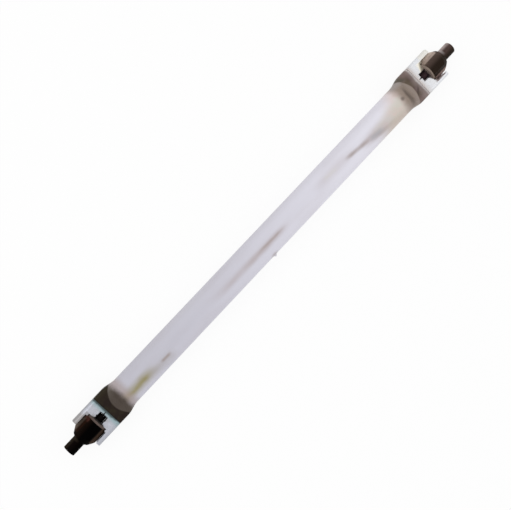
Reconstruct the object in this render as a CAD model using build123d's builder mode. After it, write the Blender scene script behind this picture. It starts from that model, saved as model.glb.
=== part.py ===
"""Double-ended metal halide lamp: a pinched quartz tube with a clip, terminal and pin at each end.

The lamp lies along X with its pinches flat. The origin is the middle of the lamp, on its axis.
Each end is drawn at the right (+X) and mirrored for the left. Stations along an end are distances
from the tip of its contact pin.
"""
from build123d import *
import math
import os

# Overall
overall_length = 355.0          # pin tip to pin tip
half_length = overall_length / 2

# Quartz tube
tube_outer = 19.5
tube_wall = 1.5
pinch_width = 22.6
pinch_thickness = 6.0
pinch_corner = 1.8
seat_depth = 0.7                # step in each side of the pinch, so that the clip lies flush
flare_length = 9.5              # from the round tube to the flat pinch
flare_steps = (1 / 3, 2 / 3, 1)
flat_past_cavity = 1.5          # how far the flat pinch runs inboard past the cavity's end
side_turn = 10                  # degrees of the round tube that become each flat side
cavity_end_height = 1.2         # what is left of the cavity where it meets the seal
cavity_end_corner = 0.54
cavity_dome = 7.5               # how far its domed end stands out, seen from above
exhaust_tip_radius = 1.6
exhaust_tip_height = 1.3
exhaust_tip_x = -2.5
exhaust_shoulder = (0.8, 0.5)   # shares of its radius and height that its round side passes

# Contact pin and hexagonal terminal
pin_diameter = 8.0
pin_length = 9.0
pin_tip_round = {"left": 0.3, "right": 1.2}
hex_across_flats = 14.0
shoulder_length = 5.6           # turned shoulder, from the pin to the full hexagon
shoulder_break = 1.2            # length of the shoulder's steep cone
shoulder_step = 1.6             # what the steep cone adds to the pin's radius
hex_length = 9.0                # from the shoulder to the washer
hex_back_chamfer = 0.6
hex_back_edge = 0.1             # chamfer left inside the flats
corner_allowance = 0.2          # turned radius past the hexagon's corners
shank_diameter = 4.2
shank_bore_depth = 4.0
shank_setback = 0.2             # from the bottom of the ferrule's gaps

# Washer
washer_diameter = 14.0
washer_thickness = 1.4
washer_edge = 0.2

# Folded end clip
sheet = 0.6
clip_grip = 2.3                 # sheet left inboard of the window
clip_over_hexagon = 10.1        # how far the ears reach outboard past the web
ear_gap = 0.3                   # between the hexagon's corners and the ears beside it
web_width = 12.0
seam_gap = 0.4
window_corner = 1.0

# Toothed ferrule and lead
ferrule_diameter = 5.0
ferrule_length = 5.0
ferrule_tooth = 2.2
ferrule_teeth = 6
tooth_tip = 0.9                 # width of each tooth at its end
lead_diameter = 1.2
lead_bore_end_gap = 1.0         # between the lead and the bottom of its bore

# Seal foil
foil_width = 7.0
foil_length = 6.4
foil_thickness = 0.1
foil_corner = 0.8
foil_margin = 0.8               # solid quartz outboard of the foil
tongue_length = 1.6             # half-round end of a rod, welded on the foil

# Electrode
electrode_diameter = 2.0
electrode_reach = 9.5           # beyond the end of the cavity
electrode_tip_round = 0.7
coil_wire = 0.8                 # drawn with eight sides, to keep the winding light
coil_pitch = 0.95
coil_turns = 5
coil_set_back = 1.0             # from the electrode's tip to the coil

# Clearances
running = 0.05                  # on the radius, between a shank and its hole
slip = 0.1                      # between the pinch and the clip round it
pinch_gap = 0.4                 # between the web and the end of the pinch

# Stations, as distances from the pin tip
shoulder_start = pin_length
hex_start = shoulder_start + shoulder_length
hex_end = hex_start + hex_length
web_outer = hex_end + washer_thickness
web_inner = web_outer + sheet
clip_outer = web_outer - clip_over_hexagon
ferrule_end = web_inner + ferrule_length
shank_end = ferrule_end - ferrule_tooth - shank_setback
pinch_end = web_inner + pinch_gap
slot_end = ferrule_end + pinch_gap
clip_inner = slot_end + clip_grip
clip_length = clip_inner - clip_outer
foil_start = slot_end + foil_margin
foil_end = foil_start + foil_length
cavity_end = foil_end + foil_margin
flat_end = cavity_end + flat_past_cavity
flare_end = flat_end + flare_length
electrode_tip = cavity_end + electrode_reach

# Derived sections
tube_radius = tube_outer / 2
bore_radius = tube_radius - tube_wall
hex_corner_radius = hex_across_flats / 2 / math.cos(math.pi / 6)
seat_width = pinch_width - 2 * seat_depth
clip_inner_width = seat_width + 2 * slip
clip_inner_height = pinch_thickness + 2 * slip
clip_outer_width = clip_inner_width + 2 * sheet
clip_outer_height = clip_inner_height + 2 * sheet
clip_inner_corner = pinch_corner + slip
notch_width = 2 * (hex_corner_radius + ear_gap)
slot_width = ferrule_diameter + 2 * pinch_gap
shank_hole = shank_diameter / 2 + running


def station(distance):
    """X of a station at the right end, from its distance to the pin tip."""
    return half_length - distance


def write_both_ends(piece, name):
    """Write a piece of the right end, and its mirror image for the left end."""
    piece.part.label = f"right_{name}"
    export_step(piece.part, f"parts/right_{name}.step")
    with BuildPart() as twin:
        mirror(piece.part, about=Plane.YZ)
    twin.part.label = f"left_{name}"
    export_step(twin.part, f"parts/left_{name}.step")


def flare_blend(fraction):
    """Smooth step from the round tube (0) to the flat pinch (1)."""
    return fraction ** 2 * (3 - 2 * fraction)


def mix(start, end, share):
    """Value that lies that share of the way from start to end."""
    return start + (end - start) * share


def round_section(radius):
    """Circle in eight arcs, one for each side and corner of the section that it is lofted to."""
    for quarter in range(4):
        CenterArc((0, 0), radius, 90 * quarter - side_turn / 2, side_turn)
        CenterArc((0, 0), radius, 90 * quarter + side_turn / 2, 90 - side_turn)


os.makedirs("parts", exist_ok=True)

# Lead rod: round, with a half-round tongue welded on the foil
with BuildPart() as lead_rod:
    with BuildSketch(Plane.YZ.offset(station(foil_start + tongue_length))):
        Circle(lead_diameter / 2)
    extrude(amount=foil_start + tongue_length - shank_end + shank_bore_depth - lead_bore_end_gap)
    with BuildSketch(Plane.XZ):
        with Locations((station(foil_start + tongue_length), foil_thickness / 2)):
            Rectangle(tongue_length, lead_diameter, align=(Align.MIN, Align.MAX))
    extrude(amount=lead_diameter, both=True, mode=Mode.SUBTRACT)

# Seal foil: thin strip with rounded corners in the middle plane of the pinch
with BuildPart() as seal_foil:
    with BuildSketch(Plane.XY.offset(-foil_thickness / 2)):
        with Locations((station((foil_start + foil_end) / 2), 0)):
            RectangleRounded(foil_length, foil_width, foil_corner)
    extrude(amount=foil_thickness)

# Electrode rod: the same tongue on the foil, and a rounded tip in the cavity
with BuildPart() as electrode_rod:
    with BuildSketch(Plane.YZ.offset(station(electrode_tip))):
        Circle(electrode_diameter / 2)
    extrude(amount=electrode_tip - foil_end + tongue_length)
    fillet(electrode_rod.edges().sort_by(Axis.X)[0], electrode_tip_round)
    with BuildSketch(Plane.XZ):
        with Locations((station(foil_end), foil_thickness / 2)):
            Rectangle(tongue_length, electrode_diameter, align=(Align.MIN, Align.MAX))
    extrude(amount=electrode_diameter, both=True, mode=Mode.SUBTRACT)

# Electrode coil: wire wound on the rod just behind its tip
with BuildPart() as electrode_coil:
    with BuildLine():
        coil_line = Helix(coil_pitch, coil_pitch * coil_turns,
                          electrode_diameter / 2 + coil_wire / 2 + running,
                          center=(station(electrode_tip - coil_set_back), 0, 0),
                          direction=(1, 0, 0))
    with BuildSketch(Plane(origin=coil_line @ 0, z_dir=coil_line % 0)):
        RegularPolygon(coil_wire / 2, 8)
    sweep(is_frenet=True)

# Cavity of one half of the tube: it flattens with the flare and has a domed end in plan
with BuildPart() as cavity:
    with BuildSketch(Plane.YZ):
        Circle(bore_radius)
    extrude(amount=station(flare_end))
    with BuildSketch(Plane.YZ.offset(station(flare_end))):
        with BuildLine():
            round_section(bore_radius)
        make_face()
    for step in flare_steps:
        share = flare_blend(step)
        with BuildSketch(Plane.YZ.offset(mix(station(flare_end), station(cavity_end), step))):
            RectangleRounded(mix(2 * bore_radius, pinch_width - 2 * tube_wall, share),
                             mix(2 * bore_radius, cavity_end_height, share),
                             mix(bore_radius, cavity_end_corner, share))
    loft()
    with BuildSketch(Plane.XY):
        with BuildLine():
            dome_edge = station(cavity_end) - cavity_dome
            Line((0, -pinch_width / 2), (0, pinch_width / 2))
            Line((0, pinch_width / 2), (dome_edge, pinch_width / 2))
            ThreePointArc((dome_edge, pinch_width / 2), (station(cavity_end), 0),
                          (dome_edge, -pinch_width / 2))
            Line((dome_edge, -pinch_width / 2), (0, -pinch_width / 2))
        make_face()
    extrude(amount=tube_radius, both=True, mode=Mode.INTERSECT)

# Arc tube: one half with its flare and pinch, hollowed and mirrored, with the exhaust tip
with BuildPart() as arc_tube:
    with BuildSketch(Plane.YZ):
        Circle(tube_radius)
    extrude(amount=station(flare_end))
    with BuildSketch(Plane.YZ.offset(station(flare_end))):
        with BuildLine():
            round_section(tube_radius)
        make_face()
    for step in flare_steps:
        share = flare_blend(step)
        with BuildSketch(Plane.YZ.offset(mix(station(flare_end), station(flat_end), step))):
            RectangleRounded(mix(tube_outer, pinch_width, share),
                             mix(tube_outer, pinch_thickness, share),
                             mix(tube_radius, pinch_corner, share))
    loft()
    with BuildSketch(Plane.YZ.offset(station(flat_end))):
        RectangleRounded(pinch_width, pinch_thickness, pinch_corner)
    extrude(amount=flat_end - clip_inner - slip)
    with BuildSketch(Plane.YZ.offset(station(clip_inner + slip))):
        RectangleRounded(seat_width, pinch_thickness, pinch_corner)
    extrude(amount=clip_inner + slip - pinch_end)
    with BuildSketch(Plane.XY):
        with Locations((station(slot_end), 0)):
            Rectangle(slot_end, slot_width, align=(Align.MIN, Align.CENTER))
    extrude(amount=pinch_thickness, both=True, mode=Mode.SUBTRACT)
    add(cavity.part, mode=Mode.SUBTRACT)
    add([lead_rod.part, seal_foil.part, electrode_rod.part], mode=Mode.SUBTRACT)
    mirror(about=Plane.YZ)
    with BuildSketch(Plane.XY):
        with BuildLine():
            tip_foot = -math.sqrt(tube_radius ** 2 - exhaust_tip_radius ** 2)
            tip_root = tip_foot + tube_wall / 2
            tip_side = exhaust_tip_x + exhaust_tip_radius
            tip_top = -tube_radius - exhaust_tip_height
            ThreePointArc((exhaust_tip_x, tip_top),
                          (exhaust_tip_x + exhaust_shoulder[0] * exhaust_tip_radius,
                           -tube_radius - exhaust_shoulder[1] * exhaust_tip_height),
                          (tip_side, tip_foot))
            Polyline((tip_side, tip_foot), (tip_side, tip_root), (exhaust_tip_x, tip_root),
                     (exhaust_tip_x, tip_top))
        make_face()
    revolve(axis=Axis((exhaust_tip_x, 0, 0), (0, 1, 0)))

# Washer under the hexagon
with BuildPart() as washer:
    with BuildSketch(Plane.YZ.offset(station(web_outer))):
        Circle(washer_diameter / 2)
        Circle(shank_hole, mode=Mode.SUBTRACT)
    extrude(amount=washer_thickness)
    chamfer(washer.edges().filter_by(GeomType.CIRCLE).group_by(SortBy.RADIUS)[-1], washer_edge)

# End clip: sheet folded round the pinch, notched for the hexagon, with a web and two windows
with BuildPart() as end_clip:
    with BuildSketch(Plane.YZ.offset(station(clip_inner))):
        RectangleRounded(clip_outer_width, clip_outer_height, clip_inner_corner + sheet)
        RectangleRounded(clip_inner_width, clip_inner_height, clip_inner_corner, mode=Mode.SUBTRACT)
    extrude(amount=clip_length)
    with BuildSketch(Plane.XY):
        with Locations((station(web_outer), 0)):
            Rectangle(clip_over_hexagon, notch_width, align=(Align.MIN, Align.CENTER))
        with Locations((station((web_inner + slot_end) / 2), 0)):
            RectangleRounded(slot_end - web_inner, slot_width, window_corner)
    extrude(amount=clip_outer_height, both=True, mode=Mode.SUBTRACT)
    with BuildSketch(Plane.YZ.offset(station(web_inner))):
        Rectangle(web_width, clip_inner_height)
        Circle(shank_hole, mode=Mode.SUBTRACT)
    extrude(amount=sheet)
    with BuildSketch(Plane.XY.offset(-clip_outer_height / 2)):
        with Locations((station(clip_inner), 0)):
            Rectangle(clip_length, seam_gap, align=(Align.MIN, Align.CENTER))
    extrude(amount=sheet, mode=Mode.SUBTRACT)

# Toothed ferrule on the terminal's shank
with BuildPart() as ferrule:
    with BuildSketch(Plane.YZ.offset(station(ferrule_end))):
        Circle(ferrule_diameter / 2)
        Circle(shank_hole, mode=Mode.SUBTRACT)
    extrude(amount=ferrule_length)
    gap_half = (math.pi * ferrule_diameter / ferrule_teeth - tooth_tip) / 2
    for pair in range(ferrule_teeth // 2):
        with BuildSketch(Plane.XY.rotated((180 / (ferrule_teeth // 2) * pair, 0, 0))):
            with BuildLine():
                Polyline((station(ferrule_end), gap_half), (station(ferrule_end - ferrule_tooth), 0),
                         (station(ferrule_end), -gap_half), close=True)
            make_face()
        extrude(amount=ferrule_diameter, both=True, mode=Mode.SUBTRACT)

for name, piece in (("lead_rod", lead_rod), ("seal_foil", seal_foil),
                    ("electrode_rod", electrode_rod), ("electrode_coil", electrode_coil),
                    ("washer", washer), ("end_clip", end_clip), ("ferrule", ferrule)):
    write_both_ends(piece, name)

arc_tube.part.label = "arc_tube"
export_step(arc_tube.part, "parts/arc_tube.step")

# Terminals: a turned profile, cut to a hexagon across its middle; the two pin tips differ
for side, tip_round in pin_tip_round.items():
    with BuildPart() as terminal:
        with BuildSketch(Plane.XY):
            with BuildLine():
                pin_radius = pin_diameter / 2
                shoulder_outer = hex_corner_radius + corner_allowance
                Polyline((station(shank_end), 0), (station(0), 0),
                         (station(0), pin_radius - tip_round))
                RadiusArc((station(0), pin_radius - tip_round), (station(tip_round), pin_radius),
                          -tip_round)
                Line((station(tip_round), pin_radius), (station(shoulder_start), pin_radius))
                Polyline((station(shoulder_start), pin_radius),
                         (station(shoulder_start + shoulder_break), pin_radius + shoulder_step),
                         (station(hex_start), shoulder_outer),
                         (station(hex_end - hex_back_chamfer), shoulder_outer),
                         (station(hex_end), hex_across_flats / 2 - hex_back_edge),
                         (station(hex_end), shank_diameter / 2),
                         (station(shank_end), shank_diameter / 2), (station(shank_end), 0))
            make_face()
        revolve(axis=Axis.X)
        with BuildSketch(Plane.YZ.offset(station(shank_end))):
            RegularPolygon(hex_across_flats / 2, 6, major_radius=False)
        extrude(amount=shank_end, mode=Mode.INTERSECT)
        with BuildSketch(Plane.YZ.offset(station(shank_end))):
            Circle(lead_diameter / 2 + running)
        extrude(amount=shank_bore_depth, mode=Mode.SUBTRACT)
        if side == "left":
            mirror(about=Plane.YZ, mode=Mode.REPLACE)
    terminal.part.label = f"{side}_terminal"
    export_step(terminal.part, f"parts/{side}_terminal.step")
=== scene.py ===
"""Finished model of a double-ended metal halide lamp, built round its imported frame.

The lamp lies along X with its pinches flat and its axis at the origin. Every surface is worked out as
whole arrays, each end at the right and mirrored for the left.
"""
import math

import bmesh
import bpy
import numpy as np
from bpy.props import FloatProperty, FloatVectorProperty, IntProperty, PointerProperty
from mathutils import Matrix, Vector


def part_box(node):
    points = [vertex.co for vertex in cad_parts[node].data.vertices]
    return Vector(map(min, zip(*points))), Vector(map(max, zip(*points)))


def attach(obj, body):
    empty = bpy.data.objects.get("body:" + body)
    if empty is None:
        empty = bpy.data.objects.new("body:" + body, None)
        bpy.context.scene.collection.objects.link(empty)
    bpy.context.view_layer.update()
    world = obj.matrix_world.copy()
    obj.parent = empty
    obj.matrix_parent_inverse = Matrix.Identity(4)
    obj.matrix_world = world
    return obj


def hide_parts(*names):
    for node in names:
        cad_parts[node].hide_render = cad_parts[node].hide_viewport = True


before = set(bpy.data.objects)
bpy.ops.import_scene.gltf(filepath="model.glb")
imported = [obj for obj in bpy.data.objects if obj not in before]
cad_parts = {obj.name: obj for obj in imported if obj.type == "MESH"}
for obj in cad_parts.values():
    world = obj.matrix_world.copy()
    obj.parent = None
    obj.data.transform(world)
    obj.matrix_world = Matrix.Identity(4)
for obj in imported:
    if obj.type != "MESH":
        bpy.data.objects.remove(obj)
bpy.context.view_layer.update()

bl_info = {
    "name": "Metal Halide Lamp",
    "version": (1, 0, 0),
    "blender": (4, 5, 0),
    "location": "View3D > Sidebar > Lamp",
    "description": "Builds the quartz tube, clips and terminals of a double-ended lamp",
    "category": "Add Mesh",
}

MM = 0.001
TURN = 2 * math.pi
COS_30 = math.cos(math.pi / 6)
SIDES = ("right", "left")

LENGTHS = {
    # name: description, millimetres
    "tube_wall": ("Thickness of the quartz tube", 1.5),
    "pinch_thickness": ("Thickness of the flat pinch", 6.0),
    "pinch_corner": ("Radius along the pinch's edges", 1.8),
    "press_wave": ("Height of the waves pressed into the pinch", 0.05),
    "flare_length": ("From the round tube to the flat pinch", 9.5),
    "cavity_gap": ("Height left at the end of the cavity", 1.2),
    "cavity_dome": ("How far the cavity's end stands out", 7.5),
    "flat_past_cavity": ("Flat pinch over the cavity's end", 1.5),
    "slip": ("Gap between the pinch and the clip round it", 0.1),
    "slot_width": ("Slot in the pinch and window in the clip", 5.8),
    "slot_past_ferrule": ("Room at the slot's bottom", 0.4),
    "lobe_round": ("Rounding at the end of the lobes beside the slot", 0.8),
    "lobe_corner": ("Radius along the lobes' edges", 1.0),
    "exhaust_radius": ("Radius of the sealed exhaust tip", 1.0),
    "exhaust_height": ("Height of the sealed exhaust tip", 1.3),
    "exhaust_x": ("Distance of the exhaust tip left of the middle", 2.5),
    "sheet": ("Thickness of the clip's sheet metal", 0.6),
    "sheet_bevel": ("Bevel along the sheet's edges", 0.09),
    "clip_corner": ("Outer radius of the clip's folds", 2.5),
    "dent": ("Depth of the dents in the clip", 0.09),
    "ear_gap": ("From the hexagon's corners to the clip's ears", 0.3),
    "web_width": ("Width of the bent-in web", 12.0),
    "window_lip": ("Sheet over the ferrule's inner end", 0.3),
    "ragged": ("How uneven the window's burnt edge is", 0.30),
    "ragged_pitch": ("Distance between the points of that edge", 1.7),
    "seam_gap": ("Gap of the seam below the clip", 0.4),
    "pin_diameter": ("Diameter of the contact pin", 8.0),
    "pin_length": ("From the pin's tip to the shoulder", 9.0),
    "left_tip_round": ("Rounding of the left pin's tip", 0.35),
    "right_tip_round": ("Rounding of the right pin's tip", 1.2),
    "shoulder_break": ("Length of the shoulder's steep cone", 1.2),
    "shoulder_step": ("What the steep cone adds to the radius", 1.6),
    "shoulder_length": ("From the pin to the full hexagon", 5.6),
    "hex_flats": ("Hexagon across its flats", 14.0),
    "hex_corner_turned": ("Turned radius past the hexagon's corners", 0.2),
    "hex_edge": ("Softness of the hexagon's edges", 0.12),
    "hex_back_chamfer": ("Chamfer beside the washer", 0.6),
    "hex_back_edge": ("Chamfer left inside the flats", 0.1),
    "shank_diameter": ("Diameter of the terminal's shank", 4.2),
    "shank_edge": ("Chamfer at the end of the shank", 0.15),
    "shank_bore": ("Depth of the lead's bore in the shank", 4.0),
    "running": ("Gap round the lead and the shank", 0.05),
    "washer_edge": ("Rounding of the washer's rim", 0.18),
    "lead_diameter": ("Diameter of the lead rod", 1.2),
    "ferrule_wall": ("Wall of the toothed ferrule", 0.35),
    "ferrule_tooth": ("Length of the ferrule's teeth", 2.4),
    "scale": ("Thickness of the burnt scale on the ferrule", 0.25),
    "coil_wire": ("Diameter of the electrode's wire", 0.8),
}

COLOURS = {
    # name: description, linear colour, or the colours of the left and the right end
    "quartz": ("Milky quartz", (0.512, 0.504, 0.570), (0.790, 0.775, 0.855)),
    "frost": ("Clouds in the milky quartz", (0.76, 0.75, 0.79)),
    # painted shade: grey along the tube's +Y side
    "tube_shade": ("Grey along the tube's +Y side", (0.42, 0.40, 0.42)),
    "streak": ("Pinkish brown deposit", (0.43, 0.355, 0.345)),
    "dark_streak": ("Darker brown deposit", (0.33, 0.26, 0.235)),
    "olive": ("Yellow halide deposit", (0.300, 0.262, 0.122)),
    "ash": ("Grey deposit", (0.41, 0.385, 0.38)),
    "slate": ("Blue-grey deposit", (0.40, 0.40, 0.44)),
    "cream": ("Pale yellow deposit", (0.70, 0.68, 0.58)),
    "dome": ("Domed end of the cavity", (0.078, 0.061, 0.050), (0.290, 0.230, 0.192)),
    "dome_blotch": ("Blotches on the left dome", (0.105, 0.088, 0.075)),
    "dome_lit": ("Left dome towards +Y", (0.125, 0.108, 0.090)),
    "dome_edge": ("Left dome at its +Y edge", (0.155, 0.133, 0.120)),
    "dome_grey": ("Right dome at its +Y edge", (0.37, 0.345, 0.345)),
    "dome_warm": ("Right dome towards -Y", (0.34, 0.275, 0.250)),
    # painted shadow: a dark crescent inside the right dome
    "dome_shade": ("Dark crescent on the right dome", (0.120, 0.092, 0.074)),
    "dome_ring": ("Faint rings on the right dome", (0.36, 0.31, 0.28)),
    "dome_rim": ("Rim of the right dome", (0.30, 0.26, 0.24)),
    "electrode_spot": ("Electrode's tip behind the wall", (0.13, 0.105, 0.09)),
    "haze": ("Haze beside the dome", (0.37, 0.30, 0.285), (0.64, 0.60, 0.53)),
    "haze_pink": ("Pink haze beside the right dome", (0.70, 0.57, 0.52)),
    "haze_tan": ("Right haze towards -Y", (0.60, 0.50, 0.43)),
    "band": ("Burnt quartz of the pinch", (0.015, 0.0085, 0.0060), (0.095, 0.066, 0.054)),
    "band_olive": ("Olive patches on the pinch", (0.028, 0.022, 0.010), (0.125, 0.102, 0.066)),
    "band_side": ("Sides of the pinch", (0.034, 0.028, 0.010), (0.27, 0.20, 0.19)),
    "band_blotch": ("Blotches on the right pinch", (0.20, 0.145, 0.145)),
    "band_pale": ("Right pinch towards the clip", (0.30, 0.245, 0.235)),
    "band_crease": ("Crease beside the right dome", (0.080, 0.058, 0.052)),
    # painted shade at the corner between the right dome and the +Y side
    "band_corner": ("Corner between dome and +Y side", (0.085, 0.074, 0.055)),
    "band_rim": ("Right pinch right beside the clip", (0.62, 0.585, 0.58)),
    "clip": ("Nickelled sheet", (0.45, 0.46, 0.51), (0.74, 0.75, 0.78)),
    "clip_stain": ("Film on the nickel", (0.26, 0.23, 0.20), (0.80, 0.77, 0.68)),
    # painted shade: grey along the rounded folds
    "clip_fold": ("Grey along the clip's folds", (0.25, 0.24, 0.25)),
    # painted highlight at the right notch's +Y edge
    "notch_cream": ("Cream edge of the right notch", (0.92, 0.87, 0.79)),
    # painted shade of the gap beside the hexagon at the right, a darker band at the left
    "notch_stain": ("Stain beside the notch", (0.15, 0.12, 0.10), (0.150, 0.100, 0.092)),
    # tints towards the clip's inner edge: teal at the left, pale at the right
    "heat_tint": ("Heat colour of the inner edge", (0.24, 0.36, 0.38), (0.62, 0.60, 0.60)),
    "heat_brim": ("Last of the inner edge", (0.030, 0.044, 0.044), (0.55, 0.50, 0.48)),
    # painted shade of the gap round the washer
    "soot": ("Smoke round the washer", (0.100, 0.080, 0.070), (0.120, 0.092, 0.076)),
    # painted reflection in the right washer's gap at +Y, pale, then olive
    "smoke_pale": ("Start of the right smoke at +Y", (0.88, 0.82, 0.68)),
    "smoke_olive": ("Rest of the right smoke at +Y", (0.235, 0.200, 0.150)),
    "lead_soot": ("Soot in line with the lead", (0.010, 0.009, 0.010)),
    "oxide": ("Oxide on the terminal", (0.0005, 0.0003, 0.0003), (0.016, 0.009, 0.005)),
    # painted light and reflection on the terminals: lighter towards +Y, on the tilted facets and at the +Y
    # corner
    "oxide_lit": ("Oxide towards +Y", (0.006, 0.003, 0.002), (0.071, 0.047, 0.038)),
    "facet": ("Facets at the +Y side", (0.018, 0.007, 0.004), (0.45, 0.355, 0.305)),
    "facet_low": ("Facets at the -Y side", (0.055, 0.034, 0.023), (0.36, 0.25, 0.215)),
    "corner": ("Worn corner at +Y", (0.19, 0.15, 0.12), (0.75, 0.64, 0.55)),
    "rust": ("Rust beside the washer", (0.110, 0.040, 0.030), (0.22, 0.16, 0.12)),
    # painted light on the pin towards +Y, and a painted highlight beside the shoulder
    "pin": ("Top of the pin", (0.003, 0.0015, 0.0015), (0.075, 0.046, 0.040)),
    "pin_lit": ("Pin towards +Y", (0.022, 0.016, 0.011), (0.38, 0.31, 0.295)),
    "neck": ("Pin beside the shoulder", (0.030, 0.022, 0.015), (0.40, 0.37, 0.36)),
    "washer": ("Tinted steel", (0.125, 0.092, 0.080), (0.24, 0.19, 0.155)),
    # painted shade on the washer's face towards the tube
    "washer_face": ("Smoked face of the washer", (0.090, 0.072, 0.064), (0.165, 0.128, 0.110)),
    "burnt": ("Black scale", (0.0022, 0.0012, 0.0012), (0.030, 0.017, 0.019)),
    "burnt_shade": ("Blotches on the scale", (0.00484, 0.00264, 0.00264), (0.066, 0.0374, 0.0418)),
    "tungsten": ("Dark grey metal", (0.12, 0.12, 0.125)),
    "tungsten_shade": ("Blotches on the tungsten", (0.05, 0.05, 0.055)),
    "molybdenum": ("Grey metal", (0.20, 0.19, 0.19)),
    "molybdenum_shade": ("Blotches on the molybdenum", (0.06, 0.055, 0.05)),
}

STAGE = {
    # name: description, value, its unit or subtype
    "distance": ("From the camera to the lamp", 0.6, {"unit": "LENGTH"}),
    "lens": ("Focal length in millimetres", 67.0, {}),
    "lean_along": ("Tilt towards the left end", math.radians(7.5), {"subtype": "ANGLE"}),
    "lean_across": ("Tilt towards +Y", math.radians(7.0), {"subtype": "ANGLE"}),
    "heading": ("Rise of the lamp's axis in the picture", math.radians(46.66), {"subtype": "ANGLE"}),
    "aim_x": ("Point of the axis that is aimed at", -11.35 * MM, {"unit": "LENGTH"}),
    "aim_y": ("Distance of the aim from the axis", -0.76 * MM, {"unit": "LENGTH"}),
    "world_level": ("Strength of the even light", 0.75, {}),
    "key_level": ("Power of the large lamp", 5.0, {"unit": "POWER"}),
    "fill_level": ("Power of the low lamp", 1.4, {"unit": "POWER"}),
    "floor_glow": ("Share of the floor's own white", 0.91, {"subtype": "FACTOR", "min": 0, "max": 1}),
    "floor_size": ("Half the floor's side", 4.0, {"unit": "LENGTH"}),
    "floor_gap": ("Gap between the tube and the floor", 0.01 * MM, {"unit": "LENGTH"}),
}

DEPOSITS = (
    # start, end, centre line (from, to), half width, spread (mm), weight, colour
    (-56, 24, (-0.4, -0.7), 3.6, 0.4, 0.48, "streak"),
    (-26, 18, (-0.3, -0.7), 2.6, 0.2, 0.50, "streak"),
    (-12, 15, (-0.3, -0.5), 1.2, 0.0, 0.42, "dark_streak"),
    (40, 86, (1.0, 0.2), 4.8, 0.0, 0.26, "streak"),
    (50, 66, (1.2, 0.8), 2.6, 0.0, 0.22, "cream"),
    (69, 96, (0.8, -2.2), 2.0, 0.8, 0.85, "dark_streak"),
    (80, 138, (-1.4, -4.4), 4.4, 6.0, 0.80, "streak"),
    (90, 124, (-3.2, -6.4), 1.8, 2.0, 0.50, "dark_streak"),
    (90, 106, (-2.6, -3.2), 3.0, 0.0, 0.75, "slate"),
    (92, 130, (-1.0, 1.6), 4.0, 2.5, 0.32, "cream"),
    (-142, -101, (-2.2, -2.5), 5.2, 0.4, 1.0, "olive"),
    (-114, -87, (-3.0, -4.6), 3.6, 2.4, 0.62, "ash"),
    (-101, -91, (-2.5, -2.8), 1.6, 0.0, 0.85, "dark_streak"),
)

PAINT = {
    # what differs between the ends: weights, and where a tone starts and ends (mm, or share round)
    # among these: the weight of the painted shade along the folds, the painted reflection at +Y and the
    # reach of the painted shade by the washer, the start of the terminal's painted light, the painted
    # reflection on the -Y facets and the painted light on the washer's face
    "left": {"fold": 0.45, "upper_gap_reflection": 0.0, "gap_shade_reach": 3.1, "lit_from": 0.12,
             "facet_low": (6.4, 4.2), "washer_face_light": (-3, -6)},
    "right": {"fold": 0.12, "upper_gap_reflection": 1.0, "gap_shade_reach": 4.0, "lit_from": -0.10,
              "facet_low": (4.2, 2.2), "washer_face_light": (-2, 5)},
}


def title(name):
    """A setting's name as a user reads it."""
    return name.replace("_", " ").capitalize()


def colour_properties():
    """A colour property for each single colour, and one for each end of a pair."""
    made = {}
    for name, (note, *values) in COLOURS.items():
        names = [name] if len(values) == 1 else [f"{name}_left", f"{name}_right"]
        for each, value in zip(names, values):
            made[each] = FloatVectorProperty(name=title(each), description=note, default=value,
                                             subtype="COLOR", size=3, min=0, max=1)
    return made


class LampSizes(bpy.types.PropertyGroup):
    """Sizes that the frame's boxes don't give."""
    __annotations__ = {name: FloatProperty(name=title(name), description=note, default=size * MM,
                                           unit="LENGTH", min=0)
                       for name, (note, size) in LENGTHS.items()}
    ferrule_teeth: IntProperty(name="Ferrule teeth", description="Number of teeth", default=6, min=3)
    coil_turns: IntProperty(name="Coil turns", description="Turns on each electrode", default=5, min=1)


class LampColours(bpy.types.PropertyGroup):
    """Colours of the finishes, as linear values."""
    __annotations__ = colour_properties()
    gloss_left: FloatProperty(name="Gloss left", description="Sheen of the left terminal",
                              default=0.01, min=0, max=1, subtype="FACTOR")
    gloss_right: FloatProperty(name="Gloss right", description="Sheen of the right terminal",
                               default=0.08, min=0, max=1, subtype="FACTOR")


class LampStage(bpy.types.PropertyGroup):
    """Camera, floor and light."""
    __annotations__ = {name: FloatProperty(name=title(name), description=note, default=value, **kind)
                       for name, (note, value, kind) in STAGE.items()}


def right_box(part):
    """Low and high corner of the right-hand node of a pair, as the rows of an array."""
    return np.array([tuple(corner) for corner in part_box("right_" + part)])


HALF_LENGTH = right_box("terminal")[1, 0]
TUBE_HIGH = np.array(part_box("arc_tube")[1])
TUBE_RADIUS = TUBE_HIGH[2]


# Surfaces

def smooth_step(value):
    """0 below 0, 1 above 1, and 3t^2 - 2t^3 between."""
    t = np.clip(value, 0, 1)
    return t * t * (3 - 2 * t)


def ripple(first, second, waves=7, seed=3):
    """Small uneven waves in two directions: a sum of sines with drawn directions, between -1 and 1."""
    draw = np.random.default_rng(seed)
    total = np.zeros(np.broadcast(first, second).shape)
    for wave in range(1, waves + 1):
        along, across, start = draw.normal(size=2).tolist() + [draw.uniform(0, TURN)]
        total = total + np.sin(wave * (along * first + across * second) + start) / wave
    return total / 2.6


def grid(x, y, z):
    """Coordinates of any matching shapes as one array of points."""
    return np.stack(np.broadcast_arrays(x, y, z), -1)


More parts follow.
